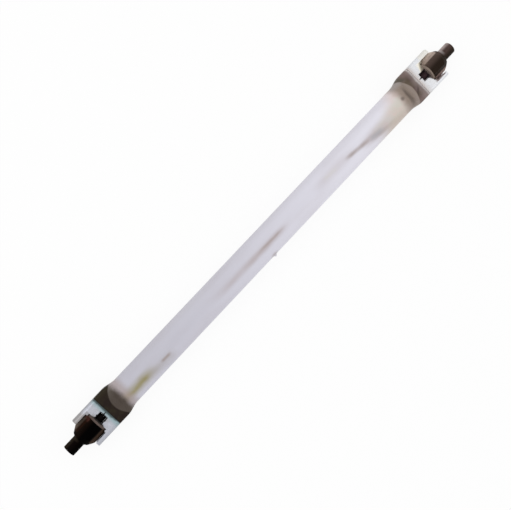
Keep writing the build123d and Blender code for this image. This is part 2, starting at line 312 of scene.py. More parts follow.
def grid_faces(rows, columns, wrap_rows=False, wrap_columns=False, keep=None):
    """Quads that join a grid of points; where it wraps, the last row or column joins the first."""
    row = np.arange(rows if wrap_rows else rows - 1)
    column = np.arange(columns if wrap_columns else columns - 1)
    i, j = np.meshgrid(row, column, indexing="ij")
    below, beside = (i + 1) % rows, (j + 1) % columns
    quads = np.stack([i * columns + j, i * columns + beside, below * columns + beside,
                      below * columns + j], -1)
    return quads.reshape(-1, 4) if keep is None else quads[keep]


def turned_out(points, quads, inward=False):
    """The quads, all reversed if the volume that they enclose has the wrong sign."""
    a, b, c, d = (points[quads[:, corner]] for corner in range(4))
    volume = (np.einsum("ij,ij", a, np.cross(b, c)) + np.einsum("ij,ij", a, np.cross(c, d))) / 6
    return quads[:, ::-1] if (volume < 0) != inward else quads


def facing(points, quads, axis, direction, cell=0):
    """The quads, all reversed if that cell doesn't face along the axis in that direction."""
    a, b, d = (points[quads[cell, corner]] for corner in (0, 1, 3))
    return quads if np.cross(b - a, d - a)[axis] * direction > 0 else quads[:, ::-1]


def grid_part(points, inward=False, **wraps):
    """A grid of points (rows, columns, xyz) as flat points and outward quads."""
    flat = points.reshape(-1, 3)
    return flat, turned_out(flat, grid_faces(points.shape[0], points.shape[1], **wraps), inward)


def closed(points, shares=()):
    """The grid with both end rows drawn in to their middle, by way of rings at those shares."""
    def cap(row):
        middle = np.broadcast_to(row.mean(1, keepdims=True), row.shape)
        return [row * [1, share, share] for share in shares] + [middle]
    return np.concatenate([*cap(points[:1])[::-1], points, *cap(points[-1:])])


def joined(*parts):
    """Several (points, quads) as one."""
    starts = np.cumsum([0] + [len(points) for points, quads in parts[:-1]])
    return (np.concatenate([points for points, quads in parts]),
            np.concatenate([quads + start for (points, quads), start in zip(parts, starts)]))


def mirrored(part):
    """The same surface at the left end: X changes sign and the quads are reversed."""
    points, quads = part
    return points * np.array([-1, 1, 1]), quads[:, ::-1]


def both_ways(half):
    """Places from 0 to the right end, and the same ones to the left, as one rising row."""
    return np.concatenate([-half[:0:-1], half])


def ring_section(angle, width, height, corner, turn_share=0.10):
    """A rounded rectangle as a function of angle: quarter arcs round four corner centres, with each
    straight side crossed within turn_share radians of the axis that cuts it."""
    cosine, sine = np.cos(angle), np.sin(angle)
    side = (width / 2 - corner) * np.clip(cosine / math.sin(turn_share), -1, 1)
    top = (height / 2 - corner) * np.clip(sine / math.sin(turn_share), -1, 1)
    return side + corner * cosine, top + corner * sine


def section_angles(count, turn_share=0.10):
    """Angles round a section, with extra ones across the four straight sides."""
    quarter = np.concatenate([np.linspace(-turn_share, turn_share, count // 6, endpoint=False),
                              np.linspace(turn_share, TURN / 4 - turn_share, count // 4,
                                          endpoint=False)])
    return np.concatenate([quarter + TURN / 4 * step for step in range(4)])


def turned_surface(x, radius, angles):
    """A profile carried round the X axis; the radius may differ from angle to angle."""
    return grid(x, radius * np.cos(angles), radius * np.sin(angles))


def line_points(corners, spacing):
    """Points along a polyline (x, r), each straight divided so that no step is longer than spacing."""
    runs = []
    for start, end in zip(corners[:-1], corners[1:]):
        steps = max(1, math.ceil(math.dist(start, end) / spacing))
        runs.append(np.linspace(start, end, steps, endpoint=False))
    return np.concatenate(runs + [np.array([corners[-1]])])


def build_piece(name, part, material, slot, node, sharp=32.0, modifiers=()):
    """A mesh object at the origin that rides on the lamp; its CAD node is hidden."""
    points, quads = part
    mesh = bpy.data.meshes.new(name)
    mesh.from_pydata(points.tolist(), [], quads.tolist())
    work = bmesh.new()
    work.from_mesh(mesh)
    bmesh.ops.remove_doubles(work, verts=work.verts, dist=1e-7)
    bmesh.ops.dissolve_degenerate(work, edges=work.edges, dist=1e-8)
    work.to_mesh(mesh)
    work.free()
    mesh.shade_smooth()
    mesh.set_sharp_from_angle(angle=math.radians(sharp))
    mesh.materials.append(material)
    piece = bpy.data.objects.new(name, mesh)
    bpy.context.scene.collection.objects.link(piece)
    for kind, settings in modifiers:
        modifier = piece.modifiers.new(kind.title(), kind)
        for key, value in settings.items():
            setattr(modifier, key, value)
    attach(piece, "root")
    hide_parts(node)


def build_pair(name, slot, node, part_of, material_of, **options):
    """A piece for each end: part_of gives it as it is at the right, and the left one is mirrored."""
    for side in SIDES:
        part = part_of(side) if side == "right" else mirrored(part_of(side))
        build_piece(f"{side}_{name}", part, material_of(side), slot, f"{side}_{node}", **options)


# Materials

def math_method(operation, reflected=False):
    """A method that adds a Math node; the reflected form swaps its two values."""
    def method(self, other=0.0):
        values = (other, self) if reflected else (self, other)
        return self.tree.node("ShaderNodeMath", dict(enumerate(values)), operation=operation)
    return method


class Term:
    """A socket of a node tree; arithmetic on it adds Math nodes."""

    def __init__(self, tree, socket):
        self.tree = tree
        self.socket = socket

    __add__, __radd__ = math_method("ADD"), math_method("ADD", True)
    __sub__, __rsub__ = math_method("SUBTRACT"), math_method("SUBTRACT", True)
    __mul__, __rmul__ = math_method("MULTIPLY"), math_method("MULTIPLY", True)
    __truediv__, __rtruediv__ = math_method("DIVIDE"), math_method("DIVIDE", True)
    __pow__, __abs__ = math_method("POWER"), math_method("ABSOLUTE")
    most, sine = math_method("MAXIMUM"), math_method("SINE")

    def ramp(self, start, end):
        """0 at start, 1 at end, smooth between; start may be the higher of the two."""
        return self.tree.node("ShaderNodeMapRange", {0: self, 1: start, 2: end, 3: 0.0, 4: 1.0},
                              interpolation_type="SMOOTHSTEP", clamp=True)


class Tree:
    """A node tree of a material or a world, and what adds nodes to it."""

    def __init__(self, tree):
        self.tree = tree

    def node(self, kind, sockets=None, output=0, **settings):
        """A node of that type: its settings first, then the values or links of its sockets."""
        node = self.tree.nodes.new(kind)
        for key, value in settings.items():
            setattr(node, key, value)
        for key, value in (sockets or {}).items():
            self.fill(node.inputs[key], value)
        return Term(self, node.outputs[output])

    def fill(self, socket, value):
        """Links a term to a socket, or sets its value; a colour of three numbers gets an alpha of 1."""
        if isinstance(value, Term):
            self.tree.links.new(value.socket, socket)
        elif hasattr(value, "__len__") and len(socket.default_value) == len(value) + 1:
            socket.default_value = (*value, 1)
        else:
            socket.default_value = value

    def seen_white(self, output, lit, white, level):
        """Shows the camera, reflections and glass that share of the white, and light rays none of it."""
        seen = [self.node("ShaderNodeLightPath", output=f"Is {ray} Ray")
                for ray in ("Camera", "Glossy", "Transmission")]
        share = seen[0].most(seen[1]).most(seen[2]) * level
        mix = self.node("ShaderNodeMixShader", {0: share, 1: lit, 2: white})
        self.fill(self.tree.nodes[output].inputs[0], mix)


class Finish(Tree):
    """One procedural material, with places on the lamp in millimetres and colours by their names."""

    def __init__(self, name, colours, side="", **constants):
        self.material = bpy.data.materials.new(name)
        self.material.use_nodes = True
        super().__init__(self.material.node_tree)
        self.colours, self.side = colours, side
        self.shader = self.tree.nodes["Principled BSDF"]
        self.feed(**constants)
        self.place = self.node("ShaderNodeTexCoord", output="Object")
        split = self.node("ShaderNodeSeparateXYZ", {0: self.place}).socket.node
        self.x, self.y, self.z = (Term(self, part) * (1 / MM) for part in split.outputs)

    def feed(self, **inputs):
        """Links or sets sockets of the shader."""
        for key, value in inputs.items():
            self.fill(self.shader.inputs[key.replace("_", " ").title().replace("Ior", "IOR")], value)

    def colour(self, name, gain=1.0):
        """The colour of that name, or that name at this finish's side, made lighter by the gain."""
        full = name if hasattr(self.colours, name) else f"{name}_{self.side}"
        return tuple(min(1.0, gain * value) for value in getattr(self.colours, full))

    def mixed(self, factor, first, second):
        """first where factor is 0 and second where it is 1: colours, or the names of colours."""
        first, second = (self.colour(each) if isinstance(each, str) else each
                         for each in (first, second))
        return self.node("ShaderNodeMix", {0: factor, 6: first, 7: second}, output=2, data_type="RGBA")

    def mixed_number(self, factor, first, second):
        """first where factor is 0 and second where it is 1, for numbers."""
        return self.node("ShaderNodeMix", {0: factor, 2: first, 3: second}, data_type="FLOAT")

    def layered(self, base, *layers):
        """The base with layers of (mask, colour) laid on it in order."""
        for mask, colour in layers:
            base = self.mixed(mask, base, colour)
        return base

    def noise(self, scale, detail=3.0, stretch=1.0, offset=0.0):
        """Noise between 0 and 1, at scale features per metre; below 1, stretch lengthens it along X."""
        placed = self.node("ShaderNodeMapping", {"Vector": self.place, "Scale": (stretch, 1, 1),
                                                 "Location": (offset, 0, 0)})
        return self.node("ShaderNodeTexNoise", {"Vector": placed, "Scale": scale, "Detail": detail})

    def bump(self, height, distance, strength=0.6):
        """Feeds Normal with a Bump node; distance is the height in millimetres where height is 1."""
        self.feed(normal=self.node("ShaderNodeBump", {"Height": height, "Strength": strength,
                                                      "Distance": distance * MM}))


class Quartz(Finish):
    """Frosted quartz, with what its paints share: places in mm, also from the nearer pin's tip, noise,
    and the distance outside the dome's edge."""

    def __init__(self, colours, cavity):
        super().__init__("frosted_quartz", colours, specular_ior_level=0.12, ior=1.46)
        self.right = self.x.ramp(-10, 10)
        self.from_tip = HALF_LENGTH / MM - abs(self.x)
        self.smoke = self.noise(260, 4)
        self.blotch = self.smoke.ramp(0.35, 0.75)
        self.warp = (self.noise(150) - 0.5) * 1.6
        self.inward, self.across = self.from_tip + self.warp, self.y + self.warp
        self.outside = self.past_dome(cavity)

    def past_dome(self, cavity):
        """Distance outside the dome's edge: a circle's arc, with its nose near the cavity's end."""
        bow = 13.5
        nose = self.mixed_number(self.right, cavity + 0.5, cavity - 0.3)
        along = (abs(self.x) - nose + bow).most(0.0)
        return (along ** 2 + (self.y + 1.2) ** 2) ** 0.5 - bow + self.warp * 0.4

    def streak(self, start, end, drift, half_width, spread):
        """Mask of a deposit on the upper wall, in mm: from start to end along X, round a centre line
        that moves by drift (from, to) across, with a soft edge that widens by spread towards the end."""
        along = (self.x - start) / (end - start)
        centre = along * (drift[1] - drift[0]) + drift[0]
        wander = (self.noise(60, offset=start * MM) - 0.5) * 1.6
        across = abs(self.y + wander - centre) / (along * spread + half_width)
        return along.ramp(0.0, 0.3) * along.ramp(1.0, 0.65) * self.z.ramp(0, 3) * across.ramp(1, 0)

    def milky(self):
        """The tube between its ends: milky quartz, paler at -Y by painted light and greyer towards the +Y
        edge by painted shade, with the deposits on its wall.
        """
        far = HALF_LENGTH / MM * 0.85
        along = self.x.ramp(-far, far)
        cloud = self.noise(38, 4, stretch=0.35)
        warm = self.noise(95, stretch=0.3, offset=0.4).ramp(0.45, 0.75)
        grain = self.noise(240, 4, stretch=0.4).ramp(0.2, 0.75)
        # a lighter copy of the quartz, for the painted light at -Y
        paler = self.mixed(along, self.colour("quartz_left", 1.2), self.colour("quartz_right", 1.1))
        by_stem = ((self.x + 3.2) ** 2 + (self.y + 8.6) ** 2 + (self.z - 3.5) ** 2) ** 0.5
        by_stem = by_stem + (cloud - 0.5) * 2
        milky = self.layered(
            self.mixed(along, "quartz_left", "quartz_right"),
            # painted light: the quartz lighter towards -Y
            (self.y.ramp(2, -8.5), paler),
            (cloud.ramp(0.35, 0.8) * 0.22, "frost"),
            (warm * 0.10, "streak"),
            # painted shade: grey towards the tube's +Y edge
            ((self.y + (cloud - 0.5) * 4).ramp(4.5, TUBE_RADIUS / MM) * 0.20, "tube_shade"),
            (by_stem.ramp(4.2, 1.0) * 0.5, "dark_streak"))
        for *shape, weight, name in DEPOSITS:
            milky = self.mixed(self.streak(*shape) * weight * (0.6 + grain * 0.4), milky, name)
        return milky

    def haze(self):
        """Colour of the haze beside the domes: brown at the left, cream, pink and tan at the right."""
        patches = (self.noise(120, offset=0.7) - self.y * 0.02).ramp(0.40, 0.60)
        tinted = self.layered("haze_pink", (patches, "haze_right"),
                              (self.y.ramp(-2.0, -8.5) * 0.8, "haze_tan"))
        return self.mixed(self.right, "haze_left", tinted)

    def domes(self):
        """The domed ends of the cavity; the right one has a painted shadow as a dark crescent, faint rings
        and a rim.
        """
        across, inward, outside = self.across, self.inward, self.outside
        left = self.layered("dome_left", (self.blotch * 0.3, "dome_blotch"),
                            (across.ramp(2, 9) * 0.5, "dome_lit"),
                            (across.ramp(6.5, 9.0) * 0.8, "dome_edge"))
        # painted shadow inside the right dome, shaped as a crescent
        crescent = (inward + self.y * 0.06).ramp(49.1, 46.8) * inward.ramp(43.0, 46.6)
        crescent = crescent * abs(self.y + 1.6).ramp(9.8, 3.0)
        rings = (outside * (TURN / 1.3) + self.smoke * 5).sine() * 0.5 + 0.5
        right = self.layered("dome_right", (across.ramp(6.0, 9.5) * 0.6, "dome_grey"),
                             (across.ramp(-3.0, -7.5) * 0.5, "dome_warm"),
                             (crescent * 0.85, "dome_shade"),
                             (rings * outside.ramp(-8.5, -6.5) * 0.16, "dome_ring"),
                             (abs(outside + 1.4).ramp(1.7, 0.3) * 0.3, "dome_rim"))
        return self.mixed(self.right, left, right)

    def bands(self):
        """Burnt quartz of the pinches; the right one is paler, with a crease beside the dome and painted
        shade in its corner between the dome and the +Y side.
        """
        across, inward, outside = self.across, self.inward, self.outside
        olive = self.noise(210, offset=0.2).ramp(0.45, 0.7) * 0.6
        left = self.layered("band_left", (olive, "band_olive_left"),
                            (across.ramp(6, 10) * 0.4, "band_side_left"))
        by_dome = across.ramp(-1.5, 3) * outside.ramp(4.5, 1)
        crease = abs((self.from_tip - 37.3) * 0.89 + self.y + 3.4 + self.warp * 0.4).ramp(1.6, 0.3)
        right = self.layered("band_right", (olive.most(by_dome * 0.55), "band_olive_right"),
                             (self.blotch * 0.4, "band_blotch"),
                             ((abs(self.y) + self.warp).ramp(5.5, 9.8) * 0.45, "band_side_right"),
                             ((inward + self.y * 0.1).ramp(39.0, 34.5) * 0.5, "band_pale"),
                             (crease * self.from_tip.ramp(35.0, 37.2) * 0.75, "band_crease"),
                             # painted shade in the corner between the dome and the +Y side
                             (across.ramp(6.6, 8.4) * outside.ramp(4.8, 1.5) * 0.8, "band_corner"),
                             (inward.ramp(35.1, 33.3) * 0.92, "band_rim"))
        return self.mixed(self.right, left, right)


def make_quartz(sizes, colours):
    """Frosted quartz, from the middle to the ends: milky, hazy, the dome with the electrode's tip behind
    it, and the burnt pinch."""
    f = Quartz(colours, end_stations(sizes)["cavity"] / MM)
    hazy = f.mixed_number(f.right, (f.from_tip + f.warp * 2).ramp(55.0, 48.6) * 0.7,
                          (f.from_tip + f.warp * 5 + f.y * 1.1).ramp(76.0, 56.0) * 0.88)
    slant = f.inward + (f.smoke - 0.5) * 2
    in_dome = f.mixed_number(f.right, (slant + f.y.ramp(4, 9.5) * 0.9).ramp(49.2, 44.2),
                             (slant + f.y * 0.02).ramp(56.3, 49.3))
    from_spot = ((f.from_tip - 51.8) ** 2 + (f.y - 0.6) ** 2) ** 0.5 + f.warp * 0.5
    body = f.layered(f.milky(), (hazy, f.haze()), (in_dome, f.domes()),
                     (from_spot.ramp(2.1, 0.3) * f.right * 0.72, "electrode_spot"),
                     (f.outside.ramp(-0.4, 0.5), f.bands()))
    f.feed(base_color=body, roughness=0.34 + f.noise(90, 2) * 0.2)
    f.bump(f.noise(240) + f.noise(35, 2) * 2, 0.05, 0.5)
    return f.material


class ClipSheet(Finish):
    """Nickelled sheet of one end, with the places in mm of what is cut from it, and its noise."""

    def __init__(self, sizes, colours, side):
        super().__init__(f"clip_sheet_{side}", colours, side)
        self.low, self.high = right_box("end_clip") / MM
        self.window = (right_box("ferrule")[0, 0] + sizes.window_lip) / MM
        self.web = right_box("washer")[0, 0] / MM
        self.notch = (hexagon_corner(sizes) + sizes.ear_gap) / MM
        self.slot = sizes.slot_width / 2 / MM
        self.reach, self.aside = abs(self.x), abs(self.y)
        self.uneven = self.noise(300, 4)
        self.lumps = self.uneven - 0.5
        self.ragged = (self.noise(750, 4) - 0.5) * 2.2

    def nickel(self):
        """The bare sheet: blotches, and a film on it at +Y beside the hexagon."""
        end = self.high[0]
        film = (self.reach + self.lumps * 4).ramp(end - 9, end - 6)
        film = film * (self.y + self.lumps * 2).ramp(7.8, 9.2)
        return self.layered("clip", (self.uneven.ramp(0.5, 0.8) * 0.4, "clip_stain"),
                            (self.noise(520).ramp(0.5, 0.7) * 0.3, self.colour("clip", 1.25)),
                            (film * 0.6, "clip_stain"))

    def beside_notch(self):
        """Mask beside the notch: painted shade of the gap beside the hexagon at -Y on the right clip, and a
        darker band at +Y on the left one.
        """
        lumps, notch, web, end = self.lumps, self.notch, self.web, self.high[0]
        if self.side == "right":
            stain_and_shade = (self.aside + lumps * 0.8).ramp(notch + 1.1, notch + 0.6) * self.y.ramp(0, -1)
            stain_and_shade = stain_and_shade * (self.reach + lumps * 3).ramp(end - 0.6, end - 2.6) * 0.92
            return stain_and_shade * (self.reach + lumps * 2).ramp(web - 0.4, web + 1.4)
        stain_and_shade = (self.y + lumps).ramp(notch + 1.4, notch + 0.2) * self.y.ramp(0, 1)
        return stain_and_shade * self.reach.ramp(web - 0.6, web + 0.2) * 0.4

    def washer_gap_shade(self):
        """Mask and colour of the painted shade in the gap inboard of the washer, a wedge; at the right, +Y
        gets a painted reflection instead, pale and then olive.
        """
        web, notch, paint = self.web, self.notch, PAINT[self.side]
        upper = self.y.ramp(-1, 1) * paint["upper_gap_reflection"]
        slope = self.reach - self.aside * 0.58 + self.ragged * 0.4 + upper * 1.9
        start = web - paint["gap_shade_reach"]
        wedge = slope.ramp(start, start + 0.6) * self.reach.ramp(web + 2.0, web + 1.8)
        wedge = wedge * self.aside.ramp(notch, notch - 0.3)
        pale = self.mixed(slope.ramp(web - 3.8, web - 2.0), "smoke_pale", "smoke_olive")
        return wedge * 0.93, self.mixed(upper, "soot", pale)

    def round_window(self):
        """Mask of the burnt black round the window."""
        halo = (self.aside + self.ragged).ramp(self.slot + 0.5, self.slot + 0.1)
        halo = halo * self.reach.ramp(self.web + 0.1, self.web)
        return halo * (self.reach + self.ragged).ramp(self.window - 0.6, self.window - 0.1)

    def over_lead(self):
        """Mask of the sooty spike in line with the lead, which ends at the inner edge."""
        start = self.low[0]
        spike = (self.reach - start) * 0.32
        soot = abs(self.y - 0.3).ramp(spike, spike * 0.4)
        soot = soot * self.reach.ramp(self.window + 1.0, self.window - 0.2)
        return soot * self.reach.ramp(start + 0.6, start + 1.2)


def make_clip(sizes, colours, side):
    """Nickelled sheet with rolling lines, stains, tints towards the inner edge, and black and a sooty spike
    round the window; painted shade lies along the folds, beside the notch and in the gap round the washer,
    and the right clip has a painted highlight at the notch and a painted reflection in that gap.
    """
    f = ClipSheet(sizes, colours, side)
    start, fold = f.low[0], f.high[1]
    metal = f.nickel()
    if side == "right":
        # painted highlight along the right notch's +Y edge
        highlight_mask = f.aside.ramp(f.notch + 0.5, f.notch + 0.2) * f.y.ramp(0, 1)
        metal = f.mixed(highlight_mask * f.reach.ramp(f.web - 3.2, f.web - 2.2) * 0.6, metal, "notch_cream")
    brim = f.reach + f.y.ramp(-3, -9) * 0.7 + f.lumps * 1.6
    # beside the notch: painted shade at -Y on the right, a darker band at +Y on the left
    metal = f.layered(metal, (f.beside_notch(), "notch_stain"),
                      # tints towards the inner edge
                      ((f.reach + f.lumps * 1.4).ramp(start + 4.5, start + 0.8) * 0.8, "heat_tint"),
                      (brim.ramp(start + 1.8, start + 0.4) * 0.92, "heat_brim"),
                      # painted shade along the folds, weighed per end
                      (f.aside.ramp(fold - 0.6, fold - 0.1) * PAINT[side]["fold"], "clip_fold"),
                      # painted shade in the gap round the washer; at the right, a painted reflection at +Y
                      f.washer_gap_shade(), (f.round_window() * 0.94, "burnt"),
                      (f.over_lead() * 0.95, "lead_soot"))
    f.feed(base_color=metal, metallic=0.55, roughness=0.36 + f.uneven * 0.25)
    f.bump(f.noise(900, 2, stretch=0.08) + f.noise(170, 2) * 3, 0.04)
    return f.material


def make_terminal(sizes, colours, side):
    """Oxidised steel: black and rusty at the left, dark brown at the right, with painted light towards +Y,
    painted reflection on the tilted facets (tan at the right), and painted highlights at the +Y corner and
    on the pin's neck.
    """
    f = Finish(f"oxidised_steel_{side}", colours, side,
               specular_ior_level=getattr(colours, f"gloss_{side}"))
    paint = PAINT[side]
    flats = sizes.hex_flats / 2 / MM
    fine = f.noise(1500)
    blotch = f.noise(330, 4).ramp(0.42, 0.66)
    around = f.y / (f.y ** 2 + f.z ** 2) ** 0.5
    height = abs(f.z)
    from_tip = HALF_LENGTH / MM - abs(f.x)
    # painted reflection on the facets that tilt towards +Y
    upper = (f.y * COS_30 + height * 0.5).ramp(flats - 0.5, flats - 0.1)
    upper = upper * (f.y + (fine - 0.5) * 0.4).ramp(4.6, 5.2)
    # painted reflection on the facets that tilt towards -Y
    lower = (height * 0.5 - f.y * COS_30).ramp(flats - 0.5, flats - 0.1)
    lower = lower * (height + (fine - 0.5)).ramp(*paint["facet_low"])
    rusty = from_tip.ramp(20, 23) * around.ramp(0.45, 0.75)
    # painted light towards +Y, painted reflection on the facets and a painted highlight at the +Y corner,
    # then the rust beside the washer
    surface = f.layered(f.mixed(around.ramp(paint["lit_from"], 0.55), "oxide", "oxide_lit"),
                        (upper * (0.75 + blotch * 0.25), "facet"), (lower * 0.9, "facet_low"),
                        ((f.y + (fine - 0.5) * 0.6).ramp(5.8, 7.6) * 0.7, "corner"),
                        (rusty * (0.35 + blotch * 0.5), "rust"))
    on_pin = from_tip.ramp(10.2, 8.8)
    # painted highlight on the pin beside the shoulder
    neck = from_tip.ramp(7.0, 8.2) * on_pin * around.ramp(-0.2, 0.6)
    # the pin, with painted light towards +Y
    pin = f.layered(f.mixed(around.ramp(-0.6, 0.4), "oxide", "pin"),
                    (around.ramp(0.4, 0.95), "pin_lit"), (blotch * 0.25, "oxide"), (neck * 0.5, "neck"))
    f.feed(base_color=f.mixed(on_pin, surface, pin), metallic=0.0, roughness=0.42 + f.noise(500) * 0.3)
    f.bump(fine + f.noise(420) * 2, 0.06, 0.7)
    return f.material


def make_washer(colours, side):
    """Heat-tinted steel, its rim in the steel's own colour; the face towards the tube has painted shade,
    with painted light on part of it.
    """
    f = Finish(f"washer_steel_{side}", colours, side, specular_ior_level=0.04)
    low = right_box("washer")[0] / MM
    face = abs(f.x).ramp(low[0] + 0.4, low[0] + 0.1)
    surface = f.layered("washer", (f.noise(300, 4).ramp(0.35, 0.7) * 0.5, f.colour("washer", 0.6)),
                        # painted shade on the face, with painted light on part of it
                        (face * 0.9, "washer_face"),
                        (face * f.y.ramp(*PAINT[side]["washer_face_light"]), f.colour("washer_face", 1.8)))
    f.feed(base_color=surface, metallic=0.1, roughness=0.42 + f.noise(500) * 0.25)
    f.bump(f.noise(900), 0.04)
    return f.material


def make_plain_metal(name, colour, colours, metallic, roughness, side=""):
    """Metal of one colour with blotches of its shade, fine grain and uneven gloss."""
    f = Finish(name, colours, side, specular_ior_level=0.04)
    f.feed(base_color=f.mixed(f.noise(280, 4).ramp(0.35, 0.7), colour, f"{colour}_shade"),
           metallic=metallic, roughness=roughness + (f.noise(700) - 0.5) * 0.25)
    f.bump(f.noise(1400), 0.03)
    return f.material


def hexagon_corner(sizes):
    """Distance of the hexagon's corners from the axis."""
    return sizes.hex_flats / 2 / COS_30


def end_stations(sizes):
    """Places along X of the right end's features, worked out from the frame's boxes."""
    slot = right_box("ferrule")[0, 0] - sizes.slot_past_ferrule
    foil_low, foil_high = right_box("seal_foil")[:, 0]
    cavity = foil_low - (slot - foil_high)
    flat = cavity - sizes.flat_past_cavity
    clip_low, clip_high = right_box("end_clip")
    dome = sizes.cavity_dome
    return {
        "slot": slot,
        "seat": clip_low[0] - sizes.slip,
        "seat_half": clip_high[1] - sizes.sheet - sizes.slip,
        "pinch_end": TUBE_HIGH[0],
        "cavity": cavity,
        "flat": flat,
        "flare": flat - sizes.flare_length,
        "dome_radius": (TUBE_HIGH[1] ** 2 + dome ** 2) / (2 * dome),
    }


# Operators

class LAMP_OT_quartz(bpy.types.Operator):
    """Build the quartz tube with its pinches, cavity and exhaust tip"""
    bl_idname = "lamp.quartz"
    bl_label = "Quartz tube"

    def outer_wall(self, sizes, ends):
        """Rounded sections along X: a circle on the tube, blended to the flat pinch by a smooth step."""
        seat_step = 0.12 * MM
        step = ends["seat"] - ends["flat"]
        x = both_ways(np.concatenate([
            np.linspace(0, ends["flare"], 70, endpoint=False),
            np.linspace(ends["flare"], ends["flat"], 56),
            ends["flat"] + step * np.concatenate([np.linspace(0, 0.97, 24)[1:], [0.985, 1.0]]),
            np.linspace(ends["seat"], ends["slot"], 8) + 0.02 * MM]))[:, None]
        reach = np.abs(x)
        share = smooth_step((reach - ends["flare"]) / (ends["flat"] - ends["flare"]))
        in_seat = smooth_step((reach - ends["seat"] + seat_step) / seat_step)
        angles = section_angles(168)
        width = 2 * (TUBE_RADIUS + (TUBE_HIGH[1] - TUBE_RADIUS) * share)
        width = width - 2 * (TUBE_HIGH[1] - ends["seat_half"]) * in_seat
        height = 2 * TUBE_RADIUS + (sizes.pinch_thickness - 2 * TUBE_RADIUS) * share
        corner = TUBE_RADIUS + (sizes.pinch_corner - TUBE_RADIUS) * share
        y, z = ring_section(angles, width, height, corner)
        pressed = share ** 4 * sizes.press_wave * (ripple(x * 700, y * 700) - 1)
        z = z + np.sign(z) * pressed * np.abs(np.sin(angles))
        return grid_part(closed(grid(x, y, z), (0.66, 0.33)), wrap_columns=True)

    def cavity_wall(self, sizes, ends):
        """The bore, facing inwards: it flattens with the flare, and its plan narrows as a circle arc."""
        wall, bow = sizes.tube_wall, ends["dome_radius"]
        edge = ends["cavity"] - sizes.cavity_dome
        x = both_ways(np.concatenate([
            np.linspace(0, ends["flare"], 40, endpoint=False),
            np.linspace(ends["flare"], edge, 20, endpoint=False),
            edge + (ends["cavity"] - edge) * np.linspace(0, 1, 40) ** 0.5]))[:, None]
        reach = np.abs(x)
        share = smooth_step((reach - ends["flare"]) / (ends["cavity"] - ends["flare"]))
        plan = np.sqrt(np.maximum(bow ** 2 - np.maximum(reach - ends["cavity"] + bow, 0) ** 2, 0))
        radius = TUBE_RADIUS - wall
        half_width = np.minimum(radius + (TUBE_HIGH[1] - wall - radius) * share, plan)
        half_height = np.minimum(radius + (sizes.cavity_gap / 2 - radius) * share, half_width)
        y, z = ring_section(section_angles(96), 2 * half_width, 2 * half_height, half_height * 0.999)
        return grid_part(grid(x, y, z), inward=True, wrap_columns=True)

    def lobe(self, sizes, ends, side):
        """One of the two lobes beside the slot: a rounded block with closed ends."""
        blend, overlap = sizes.lobe_round, 0.4 * MM
        width = ends["seat_half"] - sizes.slot_width / 2
        middle = side * (sizes.slot_width / 2 + width / 2)
        x = np.linspace(ends["slot"] - overlap, ends["pinch_end"], 24)[:, None]
        into_end = ((x - x[-1] + blend) / blend).clip(0, 1)
        inset = 2 * blend * (1 - np.sqrt(1 - into_end ** 2))
        y, z = ring_section(section_angles(72), width - inset, sizes.pinch_thickness - inset,
                            sizes.lobe_corner)
        return grid_part(closed(grid(x, y + middle, z)), wrap_columns=True)

    def exhaust_tip(self, sizes):
        """A bell curve of height over distance from its middle, laid on the side of the tube."""
        rows, columns, skirt, sunk = 26, 40, 3 * sizes.exhaust_radius, 0.02 * MM
        rings = np.linspace(0, skirt, rows)[:, None]
        turn = np.linspace(0, TURN, columns, endpoint=False)
        z = rings * np.sin(turn)
        height = sizes.exhaust_height * np.exp(-(rings / sizes.exhaust_radius) ** 2) - sunk
        y = -np.sqrt(TUBE_RADIUS ** 2 - z ** 2) - height
        points = grid(rings * np.cos(turn) - sizes.exhaust_x, y, z).reshape(-1, 3)
        quads = grid_faces(rows, columns, wrap_columns=True)
        return points, facing(points, quads, 1, -1, cell=5 * columns)

    def execute(self, context):
        sizes, colours = context.scene.lamp_sizes, context.scene.lamp_colours
        ends = end_stations(sizes)
        lobes = [self.lobe(sizes, ends, side) for side in (1, -1)]
        part = joined(self.outer_wall(sizes, ends), self.cavity_wall(sizes, ends), *lobes,
                      *[mirrored(lobe) for lobe in lobes], self.exhaust_tip(sizes))
        build_piece("quartz_tube", part, make_quartz(sizes, colours), "frosted_quartz", "arc_tube",
                    sharp=50)
        return {"FINISHED"}


